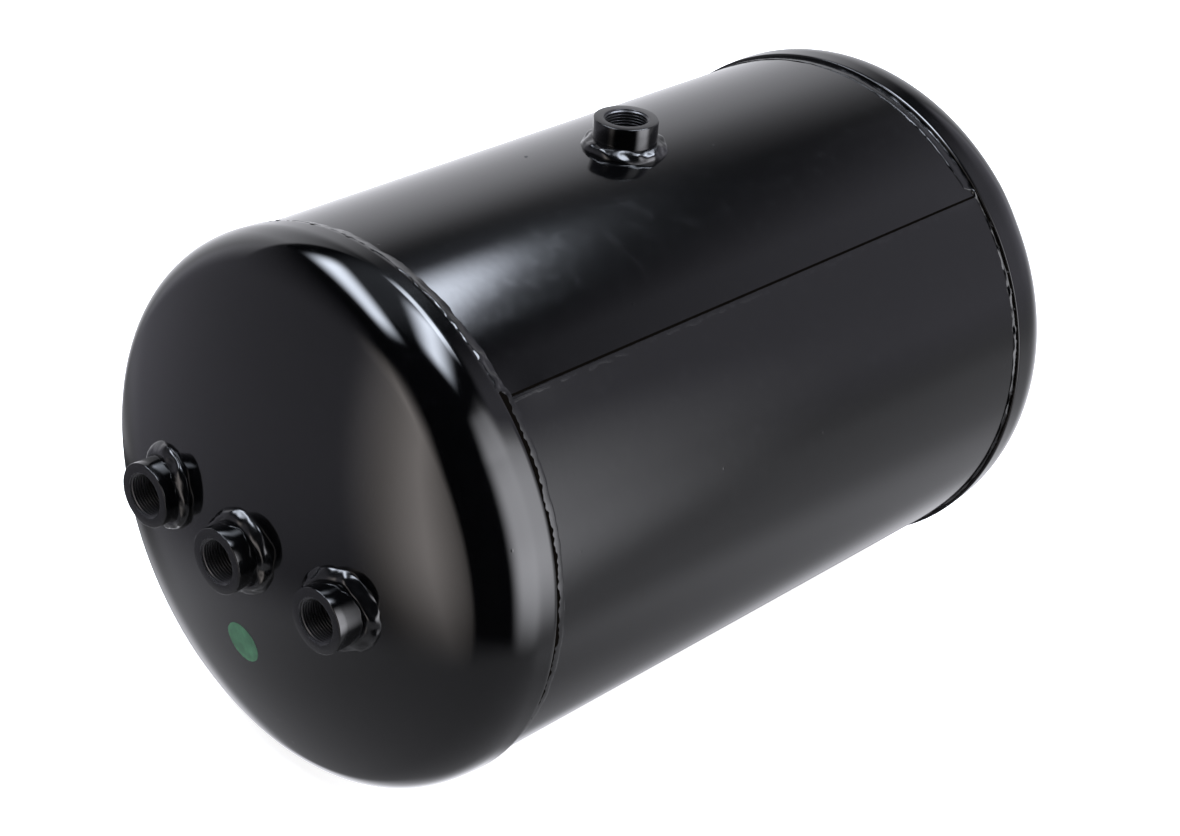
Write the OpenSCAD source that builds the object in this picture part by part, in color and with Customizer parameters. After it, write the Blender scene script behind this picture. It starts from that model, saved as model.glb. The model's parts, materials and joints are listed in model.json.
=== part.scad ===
// Welded steel compressed-air reservoir of a vehicle air system.
// A rolled shell is closed by two dished heads that lap over its ends.
// Three threaded bosses stand on the front head and one on the shell.
// The tank's axis lies along Y, its front head faces -Y, and the shell boss points up.

/* [Heads] */
// Outside diameter of the heads, the tank's widest
head_od = 276; // [220:1:320]
// Sheet thickness of the heads
head_wall = 2; // [1.5:0.1:4]
// Straight skirt from the rim to the knuckle
skirt_h = 9.5; // [7:0.5:30]
// Inside radius of the knuckle, a tenth of the diameter on this kind of head
knuckle_r = 27.6; // [20:0.1:36]
// Inside radius of the crown, equal to the diameter on this kind of head
crown_r = 276; // [220:1:330]

/* [Shell] */
// Distance between the rims of the two heads
rim_span = 348; // [220:1:800]
// Sheet thickness of the shell
shell_wall = 2; // [1.5:0.1:4]
// Depth of each shell end inside its head
lap_depth = 8; // [4:0.5:14]
// Gap all round between the shell and the skirt that slides over it
lap_gap = 0.1; // [0.05:0.05:0.3]

/* [Seam] */
// Angle of the lengthwise seam from the top, towards +X
seam_angle = 45; // [30:1:150]
// Gap between the sheet's edges, which the seam weld fills
seam_gap = 1.6; // [0.8:0.1:3]
// Width of the bead on the outside
seam_bead_w = 4; // [3:0.5:8]
// Height of the bead on the outside
seam_bead_h = 0.8; // [0.3:0.1:1.5]

/* [Bosses] */
// Outside diameter of a boss
boss_od = 32; // [27:0.5:40]
// Length of a boss
boss_l = 24; // [20:0.5:40]
// Height of a front boss's face above the head it stands on
port_reach = 13.5; // [11:0.5:16]
// Height of the shell boss's face above the shell
drain_reach = 14.5; // [11:0.5:16]
// Bore of a boss, the tapping size of an M22x1.5 thread
bore_d = 20.5; // [16:0.1:24]
// Mouth diameter of the chamfer
mouth_d = 22.6; // [18:0.1:26]
// Clearance of a boss in its hole in the sheet, all round
boss_gap = 0.2; // [0.1:0.05:0.5]

/* [Layout] */
// Distance between neighbouring bosses on the front head
port_pitch = 60; // [52:1:80]
// Turn of the row of bosses from level, clockwise seen from the front
row_turn = 4.5; // [-15:0.5:15]
// Distance of the shell boss from the front head's rim
drain_at = 178; // [60:1:190]
// Diameter of the round inspection sticker on the front head
sticker_d = 21; // [15:1:34]
// Distance of the sticker's centre from the centre boss, square to the row
sticker_drop = 54; // [40:1:64]
// Thickness of the sticker
sticker_t = 0.3; // [0.2:0.05:0.6]

/* [Welds] */
// Length of the girth weld along the shell
girth_leg = 5; // [2:0.5:6]
// Leg of the fillet weld round a boss
fillet_leg = 5.2; // [3:0.2:7]

/* [Hidden] */
$fn = 128;
// Facets of the large round faces that a weld lies on
fine = 600;
head_r = head_od / 2;
shell_r = head_r - head_wall - lap_gap;
shell_bore_r = shell_r - shell_wall;
shell_l = rim_span + 2 * lap_depth;
boss_r = boss_od / 2;
fillet_r = boss_r + fillet_leg;
knuckle_x = head_r - head_wall - knuckle_r;
// Height of the crown's centre above the rim, found where crown and knuckle run together
crown_z = skirt_h - sqrt(pow(crown_r - knuckle_r, 2) - pow(knuckle_x, 2));
crown_out_r = crown_r + head_wall;
head_h = crown_z + crown_out_r;
overall_l = port_reach + 2 * head_h + rim_span;
// Places in the frame: the origin is the middle of the base of the whole object's box
axis_z = head_r;
front_rim_y = port_reach + head_h - overall_l / 2;
rear_rim_y = front_rim_y + rim_span;
crown_y = front_rim_y - crown_z;
drain_y = front_rim_y + drain_at;
seam_sweep = 360 * seam_gap / (2 * PI * shell_r);
// Amount by which a cutting shape runs past what it cuts
over = 5;

// Turns a shape built upwards about Z so that it points to -Y from a point on the tank's axis
module forwards(y) {
    translate([0, y, axis_z]) rotate([90, 0, 0]) children();
}

// Turns a shape built upwards about Z so that it points to +Y from a point on the tank's axis
module backwards(y) {
    translate([0, y, axis_z]) rotate([-90, 0, 0]) children();
}

// Where one boss of the row stands: step is -1, 0 or 1
function port_x(step) = step * port_pitch * cos(row_turn);
function port_drop(step) = step * port_pitch * sin(row_turn);
// Height of the crown's outside above the rim at the radius of a boss
function crown_height(step) = crown_z + sqrt(pow(crown_out_r, 2) - pow(step * port_pitch, 2));

// Half section of one side of a dished head: 0 is the inside and head_wall is the outside
module head_outline(grow) {
    side_r = head_r - head_wall + grow;
    intersection() {
        square([side_r, head_h + over]);
        union() {
            square([side_r, skirt_h]);
            translate([knuckle_x, skirt_h]) circle(r = knuckle_r + grow);
            intersection() {
                translate([0, crown_z]) circle(r = crown_r + grow);
                polygon([
                    [0, crown_z],
                    [2 * knuckle_x, crown_z + 2 * (skirt_h - crown_z)],
                    [0, crown_z + 2 * (skirt_h - crown_z)]
                ]);
            }
        }
    }
}

// One dished head, its rim at z = 0 and its crown upwards
module dished_head() {
    rotate_extrude() difference() {
        head_outline(head_wall);
        head_outline(0);
    }
}

// Section of the bead between a head's rim and the shell, its rim side at y = 0
module girth_section() {
    lip = head_r - shell_r;
    polygon([
        [shell_r, 0],
        [head_r, 0],
        [head_r - 0.15 * lip, 0.35 * girth_leg],
        [shell_r + 0.45 * lip, 0.75 * girth_leg],
        [shell_r, girth_leg]
    ]);
}

// One boss with its face at z = 0 and its body below
module boss() {
    chamfer_h = (mouth_d - bore_d) / 2;
    translate([0, 0, -boss_l]) difference() {
        cylinder(r = boss_r, h = boss_l);
        translate([0, 0, -over]) cylinder(d = bore_d, h = boss_l + 2 * over);
        translate([0, 0, boss_l - chamfer_h]) cylinder(d1 = bore_d, d2 = mouth_d, h = chamfer_h);
        translate([0, 0, boss_l]) cylinder(d = mouth_d, h = over);
    }
}

// Fillet ring about Z, with its toe at toe_z on the sheet and its root below it
module fillet_ring(toe_z) {
    root_z = toe_z - 2 * over;
    rotate_extrude() polygon([
        [boss_r - over, root_z],
        [fillet_r, root_z],
        [fillet_r, toe_z],
        [boss_r - over, toe_z + fillet_leg + over]
    ]);
}

// One boss of the row on the front head
module port_boss(step) {
    forwards(front_rim_y) translate([port_x(step), -port_drop(step), crown_height(step) + port_reach]) boss();
}

// Hole for one boss, or the space that the boss itself takes when gap is 0
module port_space(step, gap) {
    forwards(front_rim_y) translate([port_x(step), -port_drop(step), 0]) cylinder(r = boss_r + gap, h = 2 * head_h);
}

// Weld round one boss of the row. It is square to the crown where the boss stands.
module port_weld(step) {
    lean = asin(step * port_pitch / crown_out_r);
    toe_z = sqrt(pow(crown_out_r, 2) - pow(fillet_r, 2));
    difference() {
        forwards(crown_y) rotate([0, 0, -row_turn]) rotate([0, lean, 0]) fillet_ring(toe_z);
        forwards(crown_y) sphere(r = crown_out_r, $fn = fine);
        port_space(step, 0);
    }
}

module shell() {
    color("#1c1c1f") difference() {
        backwards(front_rim_y - lap_depth) rotate([0, 0, seam_angle - 90 + seam_sweep / 2])
            rotate_extrude(angle = 360 - seam_sweep)
                translate([shell_bore_r, 0]) square([shell_wall, shell_l]);
        translate([0, drain_y, axis_z]) cylinder(r = boss_r + boss_gap, h = head_od);
    }
}

// Section of the weld metal in the gap between the sheet's edges
module seam_fill_section() {
    reach = 2 * shell_r;
    half = seam_sweep / 2;
    intersection() {
        difference() {
            circle(r = shell_r, $fn = fine);
            circle(r = shell_bore_r, $fn = fine);
        }
        polygon([[0, 0], [reach * cos(half), -reach * sin(half)], [reach * cos(half), reach * sin(half)]]);
    }
}

// Section of the bead that stands proud of the shell
module seam_bead_section() {
    bead_r = (pow(seam_bead_w / 2, 2) + pow(seam_bead_h, 2)) / (2 * seam_bead_h);
    difference() {
        translate([shell_r + seam_bead_h - bead_r, 0]) circle(r = bead_r);
        circle(r = shell_r, $fn = fine);
    }
}

module seam_weld() {
    bead_l = rim_span - 2 * girth_leg;
    end_l = (shell_l - bead_l) / 2;
    color("#202023") backwards(front_rim_y - lap_depth) rotate([0, 0, seam_angle - 90]) union() {
        linear_extrude(end_l) seam_fill_section();
        translate([0, 0, end_l]) linear_extrude(bead_l) union() {
            seam_fill_section();
            seam_bead_section();
        }
        translate([0, 0, end_l + bead_l]) linear_extrude(end_l) seam_fill_section();
    }
}

module front_head() {
    color("#1a1a1d") difference() {
        forwards(front_rim_y) dished_head();
        for (step = [-1, 0, 1]) port_space(step, boss_gap);
    }
}

module rear_head() {
    color("#1a1a1d") backwards(rear_rim_y) dished_head();
}

module front_girth_weld() {
    color("#26262a") backwards(front_rim_y) rotate_extrude() girth_section();
}

module rear_girth_weld() {
    color("#26262a") forwards(rear_rim_y) rotate_extrude() girth_section();
}

module port_boss_left() {
    color("#161618") port_boss(-1);
}

module port_boss_centre() {
    color("#161618") port_boss(0);
}

module port_boss_right() {
    color("#161618") port_boss(1);
}

module port_weld_left() {
    color("#2a2a2e") port_weld(-1);
}

module port_weld_centre() {
    color("#2a2a2e") port_weld(0);
}

module port_weld_right() {
    color("#2a2a2e") port_weld(1);
}

module drain_boss() {
    color("#161618") translate([0, drain_y, axis_z + shell_r + drain_reach]) boss();
}

module drain_weld() {
    toe_z = sqrt(pow(shell_r, 2) - pow(fillet_r, 2));
    color("#2a2a2e") difference() {
        translate([0, drain_y, axis_z]) fillet_ring(toe_z);
        backwards(front_rim_y) cylinder(r = shell_r, h = rim_span, $fn = fine);
        translate([0, drain_y, axis_z]) cylinder(r = boss_r, h = head_od);
    }
}

module inspection_sticker() {
    color("#2f6b45") difference() {
        intersection() {
            forwards(crown_y) sphere(r = crown_out_r + sticker_t);
            forwards(front_rim_y) rotate([0, 0, -row_turn])
                translate([0, -sticker_drop, 0]) cylinder(d = sticker_d, h = 2 * head_h);
        }
        forwards(crown_y) sphere(r = crown_out_r);
    }
}

shell();
seam_weld();
front_head();
rear_head();
front_girth_weld();
rear_girth_weld();
port_boss_left();
port_boss_centre();
port_boss_right();
port_weld_left();
port_weld_centre();
port_weld_right();
drain_boss();
drain_weld();
inspection_sticker();
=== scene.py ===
# %% [markdown]
# # A compressed-air tank in gloss black
# The tank stores air for the brakes and suspension of a heavy vehicle. It is a rolled sheet of
# steel, closed by two pressed heads that lap over its ends. Three threaded bosses stand on the
# front head and one on the shell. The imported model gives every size, so this lesson adds what the
# eye needs: smooth curves, rippled weld beads, cut threads, and wet-looking paint.

# %% Load the model and the tools
import json
import math

import bmesh
import bpy
import numpy as np
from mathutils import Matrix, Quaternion, Vector


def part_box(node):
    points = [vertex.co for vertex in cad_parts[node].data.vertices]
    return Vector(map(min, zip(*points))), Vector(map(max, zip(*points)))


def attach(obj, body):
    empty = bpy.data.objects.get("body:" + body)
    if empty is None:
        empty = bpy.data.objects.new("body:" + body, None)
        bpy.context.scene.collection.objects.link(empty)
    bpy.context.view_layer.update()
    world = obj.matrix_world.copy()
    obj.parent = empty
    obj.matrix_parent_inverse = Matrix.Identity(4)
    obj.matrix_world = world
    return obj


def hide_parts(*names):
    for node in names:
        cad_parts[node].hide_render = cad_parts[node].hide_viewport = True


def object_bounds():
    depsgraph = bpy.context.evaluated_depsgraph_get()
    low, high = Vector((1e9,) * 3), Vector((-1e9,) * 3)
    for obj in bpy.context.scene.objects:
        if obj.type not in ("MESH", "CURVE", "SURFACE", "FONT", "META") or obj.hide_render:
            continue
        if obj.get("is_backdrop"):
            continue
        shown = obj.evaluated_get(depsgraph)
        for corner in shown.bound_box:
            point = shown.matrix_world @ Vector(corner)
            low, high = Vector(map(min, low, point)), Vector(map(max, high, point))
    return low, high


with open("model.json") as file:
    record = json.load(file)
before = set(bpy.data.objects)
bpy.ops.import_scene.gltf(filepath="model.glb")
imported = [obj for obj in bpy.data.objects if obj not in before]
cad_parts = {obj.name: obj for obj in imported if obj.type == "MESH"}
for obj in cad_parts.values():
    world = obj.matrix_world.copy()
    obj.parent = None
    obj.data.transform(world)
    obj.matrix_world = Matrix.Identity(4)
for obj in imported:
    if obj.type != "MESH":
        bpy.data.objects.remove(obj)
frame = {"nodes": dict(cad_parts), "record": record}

CAD_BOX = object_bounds()
MM = 0.001
SEED = 11
print("model box", [round(v, 4) for corner in CAD_BOX for v in corner])

# %% [markdown]
# ## Sizes
# Every size that the model can tell is measured on its parts, so the pieces built here can't
# drift away from it. Only what a box can't show is given: the sheet's thickness, the two
# radii of a dished head, and the thread.

# %% Measure the tank
head_low, head_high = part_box("front_head")
rear_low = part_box("rear_head")[0]
shell_low, shell_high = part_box("shell")
HEAD_R = (head_high.x - head_low.x) / 2
SHELL_R = (shell_high.x - shell_low.x) / 2
AXIS_Z = (head_high.z + head_low.z) / 2
FRONT_RIM_Y = head_high.y
REAR_RIM_Y = rear_low.y
HEAD_H = FRONT_RIM_Y - head_low.y
WALL = 2 * MM
KNUCKLE_R = 27.6 * MM + WALL
CROWN_R = 276 * MM + WALL
KNUCKLE_X = HEAD_R - KNUCKLE_R
CROWN_H = HEAD_H - CROWN_R
SKIRT_H = CROWN_H + math.sqrt((CROWN_R - KNUCKLE_R) ** 2 - KNUCKLE_X ** 2)
CROWN_Y = FRONT_RIM_Y - CROWN_H
print(f"heads {2 * HEAD_R:.4f} across, {HEAD_H:.4f} high, skirt {SKIRT_H:.4f}")
print(f"shell {2 * SHELL_R:.4f} across, rims at {FRONT_RIM_Y:.4f} and {REAR_RIM_Y:.4f}")

# %% Find the bosses
PORTS = ["left", "centre", "right"]
mounts = {m["name"]: m for m in frame["record"]["mounts"]}
boss_low, boss_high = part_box("drain_boss")
BOSS_R = (boss_high.x - boss_low.x) / 2
BOSS_L = boss_high.z - boss_low.z
BOSS_GAP = 0.2 * MM
BORE_R = mounts["drain"]["dims"]["r_mm"] * MM
MOUTH_R = BORE_R + BOSS_L - mounts["drain"]["dims"]["length_mm"] * MM
DRAIN_Y = (boss_high.y + boss_low.y) / 2
DRAIN_FACE_Z = boss_high.z
port_places = {}
for side in PORTS:
    low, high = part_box("port_boss_" + side)
    port_places[side] = Vector(((low.x + high.x) / 2, low.y, (low.z + high.z) / 2))
print("boss faces", {k: [round(c, 4) for c in v] for k, v in port_places.items()})

# %% [markdown]
# ## Writing maths as nodes
# Both the paints and the weld beads need a little maths on values that change from point to
# point. Written as nodes by hand, that maths is unreadable. A small class wraps a node's output
# and overloads the usual signs, so an ordinary expression adds the Math nodes it stands for.

# %% A socket that understands arithmetic
class Value:
    """A node's output. Arithmetic on it adds Math nodes to the tree it belongs to."""

    def __init__(self, tree, socket):
        self.tree = tree
        self.socket = socket

    def math(self, operation, *others):
        return self.tree.node("ShaderNodeMath", {"operation": operation},
                              dict(enumerate([self, *others])))

    def __add__(self, other):
        return self.math("ADD", other)

    def __sub__(self, other):
        return self.math("SUBTRACT", other)

    def __mul__(self, other):
        return self.math("MULTIPLY", other)

    def __truediv__(self, other):
        return self.math("DIVIDE", other)

    def __radd__(self, other):
        return self + other

    def __rmul__(self, other):
        return self * other

    def __rsub__(self, other):
        return self * -1.0 + other

    def __rtruediv__(self, other):
        return self ** -1.0 * other

    def __pow__(self, other):
        return self.math("POWER", other)

    def sine(self):
        return self.math("SINE")

    def absolute(self):
        return self.math("ABSOLUTE")

    def ramp(self, start, end):
        """0 below start and 1 above end, with a soft climb between."""
        return self.tree.node("ShaderNodeMapRange", {"interpolation_type": "SMOOTHSTEP"},
                              {"Value": self, "From Min": start, "From Max": end})

    def other(self, name):
        """Another output of the same node."""
        return Value(self.tree, self.socket.node.outputs[name])


class Tree:
    """A node tree with one method that adds any node."""

    def __init__(self, tree):
        self.tree = tree

    def node(self, kind, settings=None, inputs=None, output=0):
        made = self.tree.nodes.new(kind)
        for name, setting in (settings or {}).items():
            if name == "stops":
                for element, (place, shade) in zip(made.color_ramp.elements, setting):
                    element.position, element.color = place, shade
            else:
                setattr(made, name, setting)
        for key, given in (inputs or {}).items():
            if isinstance(given, Value):
                self.tree.links.new(given.socket, made.inputs[key])
            else:
                made.inputs[key].default_value = given
        return Value(self, made.outputs[output]) if len(made.outputs) else None

    def vector(self, operation, a, b, output=0):
        return self.node("ShaderNodeVectorMath", {"operation": operation}, {0: a, 1: b}, output)

    def scaled(self, vector, factor):
        return self.node("ShaderNodeVectorMath", {"operation": "SCALE"},
                         {0: vector, "Scale": factor})

    def mix(self, factor, a, b):
        """Two colours mixed."""
        return self.node("ShaderNodeMix", {"data_type": "RGBA"}, {0: factor, 6: a, 7: b}, 2)

    def noise(self, vector, scale, detail=2.0, roughness=0.5, settings=None):
        return self.node("ShaderNodeTexNoise", settings,
                         {"Vector": vector, "Scale": scale, "Detail": detail,
                          "Roughness": roughness})


print("expression class ready")

# %% [markdown]
# ## Paints and papers
# The whole tank is sprayed in one coat of gloss black after welding, so every steel part gets the
# same paint, and only the surface under it differs. Such a paint shows almost no colour of its
# own. What the eye sees is the room mirrored in it, so the shape of the surface matters more than
# its shade: a faint orange peel, a few dust nibs, and a coat that lies duller where it is thin.

# %% Gloss black over steel
def paint(name, shade=0.0008, gloss=0.085, peel=0.000004, peel_scale=240.0, bare=None, pit=None):
    """Sprayed black. peel is the height of its orange peel in metres. bare names an attribute
    that is 1 where the coat is thin and the steel shows, and pit one that is 1 in a
    narrow groove, where a near-black matt shader is mixed in as painted shade."""
    made = bpy.data.materials.new(name)
    made.use_nodes = True
    made.node_tree.nodes.clear()
    t = Tree(made.node_tree)
    place = t.node("ShaderNodeTexCoord", output="Object")
    cloud = t.noise(place, 9.0, 4.0)
    dust = t.noise(place, 140.0, 5.0, 0.62)
    skin = t.noise(place, peel_scale, 1.0, 0.35)
    nib = t.node("ShaderNodeTexVoronoi", {"feature": "F1"},
                 {"Vector": place, "Scale": 95.0, "Randomness": 1.0})
    chance = t.noise(place, 31.0, 0.0)
    nibs = (1.0 - nib.ramp(0.02, 0.075)) * chance.ramp(0.62, 0.68)
    hue = t.mix(cloud.ramp(0.3, 0.7), (shade * 0.85, shade * 0.86, shade, 1),
                (shade * 1.25, shade * 1.25, shade * 1.4, 1))
    hue = t.mix(dust.ramp(0.55, 0.85) * 0.12, hue, (0.010, 0.010, 0.011, 1))
    rough = gloss + dust.ramp(0.45, 0.8) * 0.03 + cloud * 0.02
    metal = 0.0
    if bare:
        thin = t.node("ShaderNodeAttribute", {"attribute_name": bare}, output="Fac")
        worn = (thin + (t.noise(place, 420.0, 3.0) - 0.5) * 0.7).ramp(0.42, 0.62) * thin
        hue = t.mix(worn, hue, (0.055, 0.054, 0.056, 1))
        rough = rough + worn * 0.18
        metal = worn * 0.8
    height = skin * peel + nibs * 0.00005
    bump = t.node("ShaderNodeBump", None, {"Height": height, "Strength": 1.0, "Distance": 1.0})
    shader = t.node("ShaderNodeBsdfPrincipled", None,
                    {"Base Color": hue, "Roughness": rough, "Metallic": metal, "Normal": bump,
                     "IOR": 1.5})
    # Painted shade: in narrow grooves the gloss is swapped for a near-black matt shader, which stands
    # in for the shadow there.
    if pit:
        deep = t.node("ShaderNodeAttribute", {"attribute_name": pit}, output="Fac")
        deep = (deep + (t.noise(place, 600.0, 2.0) - 0.5) * 0.8).ramp(0.4, 0.6)
        painted_shade = t.node("ShaderNodeBsdfDiffuse", None, {"Color": (0.0022, 0.0018, 0.0014, 1)})
        shader = t.node("ShaderNodeMixShader", None, {0: deep, 1: shader, 2: painted_shade})
    t.node("ShaderNodeOutputMaterial", None, {"Surface": shader})
    return made


SHELL_PAINT = paint("gloss black on rolled sheet")
HEAD_PAINT = paint("gloss black on pressed steel", gloss=0.06, peel=0.000003)
# The weld paint also carries painted shade in its grooves.
WELD_PAINT = paint("gloss black on weld metal", shade=0.0015, gloss=0.17, peel=0.00001,
                   peel_scale=420.0, pit="pit")
BOSS_PAINT = paint("gloss black on turned steel", gloss=0.10, bare="thin_coat")
print("paints:", [m.name for m in bpy.data.materials if "gloss" in m.name])

# %% [markdown]
# The inspection dot is a disc of green paper pressed on to the head when the tank has passed its
# test. Its ink is uneven and rubbed, and the paper shines only a little. It carries no marks here.

# %% Green paper
def dot_paper():
    made = bpy.data.materials.new("green paper dot")
    made.use_nodes = True
    made.node_tree.nodes.clear()
    t = Tree(made.node_tree)
    place = t.node("ShaderNodeTexCoord", output="Object")
    blotch = t.noise(place, 190.0, 4.0, 0.6)
    fibre = t.noise(place, 1500.0, 3.0, 0.7)
    hue = t.mix(blotch.ramp(0.35, 0.7), (0.010, 0.066, 0.028, 1), (0.026, 0.112, 0.05, 1))
    hue = t.mix(fibre.ramp(0.5, 0.8) * 0.4, hue, (0.04, 0.15, 0.07, 1))
    bump = t.node("ShaderNodeBump", None,
                  {"Height": fibre * 0.00002, "Strength": 1.0, "Distance": 1.0})
    shader = t.node("ShaderNodeBsdfPrincipled", None,
                    {"Base Color": hue, "Roughness": blotch * 0.1 + 0.38, "Normal": bump})
    t.node("ShaderNodeOutputMaterial", None, {"Surface": shader})
    return made


DOT_PAPER = dot_paper()
print("paper:", DOT_PAPER.name)

# %% [markdown]
# ## Meshes
# Most parts of a tank are turned or rolled, so one helper makes a solid from a closed outline
# spun about an axis. It keeps the poles as single points, checks by volume that the faces look
# outwards, and marks an edge sharp only where the steel really has a corner.

# %% Make a piece from points and faces
def piece(name, points, faces, material, sharp=35.0, attributes=None):
    """A smooth-shaded mesh object at the origin, its faces turned outwards."""
    mesh = bpy.data.meshes.new(name)
    mesh.from_pydata([tuple(p) for p in points], [], [tuple(f) for f in faces])
    for key, (kind, data) in (attributes or {}).items():
        field = "vector" if kind == "FLOAT_VECTOR" else "value"
        made = mesh.attributes.new(key, kind, "POINT")
        made.data.foreach_set(field, np.asarray(data, np.float32).ravel())
    work = bmesh.new()
    work.from_mesh(mesh)
    bmesh.ops.remove_doubles(work, verts=work.verts, dist=1e-7)
    if work.calc_volume(signed=True) < 0:
        bmesh.ops.reverse_faces(work, faces=work.faces)
    work.to_mesh(mesh)
    work.free()
    mesh.materials.append(material)
    mesh.shade_smooth()
    mesh.set_sharp_from_angle(angle=math.radians(sharp))
    made = bpy.data.objects.new(name, mesh)
    bpy.context.scene.collection.objects.link(made)
    return made


def spun(outline, turns):
    """Points and faces of a closed outline of (radius, height) spun about Z."""
    points, rows = [], []
    for radius, height in outline:
        if radius < 1e-7:
            rows.append([len(points)] * turns)
            points.append((0.0, 0.0, height))
            continue
        rows.append(list(range(len(points), len(points) + turns)))
        for k in range(turns):
            a = 2 * math.pi * k / turns
            points.append((radius * math.cos(a), radius * math.sin(a), height))
    faces = []
    for i, row in enumerate(rows):
        above = rows[(i + 1) % len(rows)]
        for k in range(turns):
            n = (k + 1) % turns
            face = list(dict.fromkeys([row[k], row[n], above[n], above[k]]))
            if len(face) > 2:
                faces.append(face)
    return np.array(points), faces


def arc(centre, radius, start, end, steps):
    """Outline points on an arc. Angles are from the axis, in radians."""
    return [(centre[0] + radius * math.sin(a), centre[1] + radius * math.cos(a))
            for a in np.linspace(start, end, steps)]


print("mesh helpers ready")

# %% [markdown]
# ## The dished heads
# A head is pressed from one round sheet. Its outline has three parts: a shallow crown, a tight
# knuckle, and a short straight skirt that laps over the shell. Crown and knuckle share a tangent,
# so the reflections run across the join without a kink. The skirt is drawn in a little towards
# its rim.

# %% Outline of a head
RIM_EDGE_R = 0.6 * MM
DRAWN_IN = 0.35 * MM


def head_outline():
    """Closed outline of a head, rim at height 0: outside from crown to rim, then the inside."""
    lean = math.atan2(KNUCKLE_X, SKIRT_H - CROWN_H)
    quarter = math.pi / 2
    bend = (KNUCKLE_X, SKIRT_H)
    out = arc((0, CROWN_H), CROWN_R, 0, lean, 44)
    out += arc(bend, KNUCKLE_R, lean, quarter, 26)[1:]
    out += [(HEAD_R - DRAWN_IN * (1 - h / SKIRT_H), h)
            for h in np.linspace(SKIRT_H, RIM_EDGE_R, 7)[1:]]
    out += arc((HEAD_R - DRAWN_IN - RIM_EDGE_R, RIM_EDGE_R), RIM_EDGE_R, quarter, 2 * quarter,
               6)[1:]
    out += [(HEAD_R - WALL, 0.0)]
    out += arc(bend, KNUCKLE_R - WALL, quarter, lean, 14)
    out += arc((0, CROWN_H), CROWN_R - WALL, lean, 0, 30)[1:]
    out[0] = (0.0, out[0][1])
    out[-1] = (0.0, out[-1][1])
    return out


print("head outline:", len(head_outline()), "points")

# %% [markdown]
# Pressing leaves the skirt very slightly wavy, which makes long highlights wander. Over a bit
# under half of the ring it has also sprung out at its rim instead of being drawn in, so it leans
# the other way and mirrors another part of the room.

# %% What the press leaves behind
WAVE_H = 0.05 * MM
SPRUNG = 0.75 * MM
SPRUNG_FROM, SPRUNG_TO, SPRUNG_FADE = 50.0, 210.0, 9.0


def between(angle, start, end, soft=1.2):
    """1 where the angle, in degrees, lies between two places on the ring, with soft ends."""
    middle, half = math.radians((start + end) / 2), (end - start) / 2
    apart = np.degrees(np.abs(np.angle(np.exp(1j * (angle - middle)))))
    return np.clip((half - apart) / soft + 0.5, 0, 1)


def wavy(points, seed):
    """Pulls the skirt and knuckle in by a few hundredths of a millimetre, in slow waves, and
    leans the sprung part of the skirt."""
    rng = np.random.default_rng(seed)
    radius = np.hypot(points[:, 0], points[:, 1])
    angle = np.arctan2(points[:, 1], points[:, 0])
    share = np.clip((radius - KNUCKLE_X) / (HEAD_R - KNUCKLE_X), 0, 1) ** 2
    wave = np.zeros(len(points))
    for count in (3, 5, 8, 13, 21):
        wave += rng.uniform(0.4, 1) / count ** 0.7 * np.sin(count * angle + rng.uniform(0, 6.3))
    inward = WAVE_H * (wave - wave.max()) * share
    sprung = between(math.pi / 2 - angle, SPRUNG_FROM, SPRUNG_TO, SPRUNG_FADE)
    up = np.maximum(points[:, 2] / SKIRT_H, 0)
    eased = np.where(up < 1, up, 2 - np.exp(1 - up))
    inward += sprung * (DRAWN_IN * (1 - np.minimum(up, 1)) - SPRUNG * eased * share)
    points = points.copy()
    points[:, :2] *= ((radius + inward) / np.maximum(radius, 1e-9))[:, None]
    return points


def facing_front(points, rim_y):
    """Turns a head that was built upwards so that it points to -Y, its rim at rim_y."""
    return np.stack([points[:, 0], rim_y - points[:, 2], AXIS_Z + points[:, 1]], 1)


def facing_rear(points, rim_y):
    """The same, pointing to +Y."""
    return np.stack([points[:, 0], rim_y + points[:, 2], AXIS_Z + points[:, 1]], 1)


# %% Press both heads
HEAD_TURNS = 384
head_points, head_faces = spun(head_outline(), HEAD_TURNS)
front_head = piece("front_head_pressed", facing_front(wavy(head_points, SEED), FRONT_RIM_Y),
                   head_faces, HEAD_PAINT)
rear_head = piece("rear_head_pressed", facing_rear(wavy(head_points, SEED + 1), REAR_RIM_Y),
                  head_faces, HEAD_PAINT)
print("head:", len(head_points), "points,", len(head_faces), "faces")

# %% [markdown]
# The holes for the bosses are bored before welding. A boolean cuts them through the wall. Its
# ragged faces lie only in the bore and in a narrow ring that the weld covers.

# %% Bore the holes
def bore(target, centre, axis, radius, reach):
    """Cuts a round hole through target along axis."""
    points, faces = spun([(0, -reach), (radius, -reach), (radius, reach), (0, reach)], 96)
    turn = Vector((0, 0, 1)).rotation_difference(Vector(axis))
    placed = [turn @ Vector(p) + Vector(centre) for p in points]
    cutter = piece("cutter", placed, faces, target.data.materials[0])
    cut = target.modifiers.new("bore", "BOOLEAN")
    cut.operation, cut.solver, cut.object = "DIFFERENCE", "EXACT", cutter
    deps = bpy.context.evaluated_depsgraph_get()
    result = bpy.data.meshes.new_from_object(target.evaluated_get(deps))
    target.modifiers.clear()
    target.data = result
    result.shade_smooth()
    result.set_sharp_from_angle(angle=math.radians(35))
    bpy.data.objects.remove(cutter)


for side in PORTS:
    place = port_places[side]
    bore(front_head, (place.x, FRONT_RIM_Y - HEAD_H * 0.75, place.z), (0, 1, 0),
         BOSS_R + BOSS_GAP, HEAD_H / 2)
print("front head bored:", len(front_head.data.polygons), "faces")

# %% [markdown]
# ## The shell
# The shell follows one rule: take a flat sheet and roll it round the axis. That is a job for
# Geometry Nodes, because the sheet can be a plain grid and one expression says where each point
# of it goes. Rolls can't bend the last few millimetres at the sheet's edges, so the two edges
# stay flat and meet in a slight ridge. Next to the heads the ridge is pressed round again.

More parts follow.
